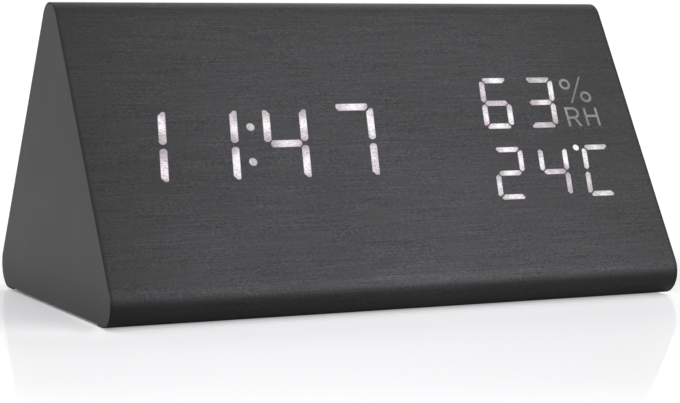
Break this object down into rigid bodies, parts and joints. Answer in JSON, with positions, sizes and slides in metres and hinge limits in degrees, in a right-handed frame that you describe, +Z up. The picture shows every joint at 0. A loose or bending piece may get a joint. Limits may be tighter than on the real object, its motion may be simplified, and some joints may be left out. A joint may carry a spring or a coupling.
{
  "type": "wooden digital alarm clock",
  "caption": "Wedge-shaped table alarm clock with black wood-grain film, a glowing segment display, rear keys and power inlet, and a battery door beneath.",
  "frame": {"origin": "middle of the footprint, on the surface that the rubber pads stand on", "axes": "+X along the length, to the right as the display is read; the display faces -Y and leans back; +Z up"},
  "size_m": [0.15, 0.087, 0.0734],
  "materials": {
    "painted_board": "smooth painted fibreboard, satin",
    "grain_film": "fine horizontal grain, satin",
    "white_plastic": "matt moulded",
    "diffuser_film": "matt film",
    "glow_white": "light through the film",
    "glow_dim": "dim light through the film",
    "glow_faint": "faint light through the film",
    "black_plastic": "fine moulded texture",
    "key_plastic": "smooth moulded",
    "jack_plastic": "smooth moulded",
    "rubber": "matt",
    "circuit_board": "green solder mask",
    "chip_black": "matt epoxy",
    "lamp_yellow": "clear resin",
    "zinc_steel": "zinc plated",
    "black_steel": "black oxide",
    "nickel": "nickel plated",
    "cell_wrap": "printed sleeve",
    "switch_black": "moulded",
    "plunger_white": "moulded",
    "sensor_blue": "moulded",
    "ribbon_grey": "ribbed ribbon",
    "red_sleeve": "smooth",
    "black_sleeve": "smooth"
  },
  "bodies": {
    "case": {"body_core": "painted_board", "grain_wrap": "grain_film", "display_reflector": "white_plastic", "diffuser_sheet": "diffuser_film", "lit_time": "glow_white", "lit_humidity": "glow_white", "lit_temperature": "glow_white", "lit_colon": "glow_dim", "lit_icons": "glow_faint", "base_plate": "black_plastic", "control_panel": "black_plastic", "dc_jack": "jack_plastic", "sounder": "jack_plastic", "rest_pads": "rubber", "display_board": "circuit_board", "main_board": "circuit_board", "button_board": "circuit_board", "segment_drivers": "chip_black", "microcontroller": "chip_black", "voltage_regulator": "chip_black", "capacitors": "chip_black", "cell_holder": "chip_black", "segment_leds": "lamp_yellow", "display_screws": "zinc_steel", "board_screws": "zinc_steel", "button_board_screws": "zinc_steel", "cell_clip": "zinc_steel", "backup_cell": "zinc_steel", "clock_crystal": "zinc_steel", "sound_sensor": "zinc_steel", "base_screws": "black_steel", "panel_screws": "black_steel", "battery_contacts": "nickel", "battery_springs": "nickel", "dc_jack_pin": "nickel", "battery_cells": "cell_wrap", "tact_switches": "switch_black", "climate_sensor": "sensor_blue", "display_cable": "ribbon_grey", "button_cable": "ribbon_grey", "red_lead": "red_sleeve", "black_lead": "black_sleeve"},
    "set_key": {"set_button": "key_plastic", "set_plunger": "plunger_white"},
    "down_key": {"down_button": "key_plastic", "down_plunger": "plunger_white"},
    "up_key": {"up_button": "key_plastic", "up_plunger": "plunger_white"},
    "battery_lid": {"battery_door": "black_plastic"}
  },
  "joints": [
    {"name": "set_press", "type": "slide", "parent": "case", "child": "set_key", "axis": [0, -0.8522, -0.5232], "range_m": [0, 0.00035], "stiffness_N_per_m": 1000},
    {"name": "down_press", "type": "slide", "parent": "case", "child": "down_key", "axis": [0, -0.8522, -0.5232], "range_m": [0, 0.00035], "stiffness_N_per_m": 1000},
    {"name": "up_press", "type": "slide", "parent": "case", "child": "up_key", "axis": [0, -0.8522, -0.5232], "range_m": [0, 0.00035], "stiffness_N_per_m": 1000},
    {"name": "door_slide", "type": "slide", "parent": "case", "child": "battery_lid", "axis": [1, 0, 0], "range_m": [0, 0.007]}
  ]
}
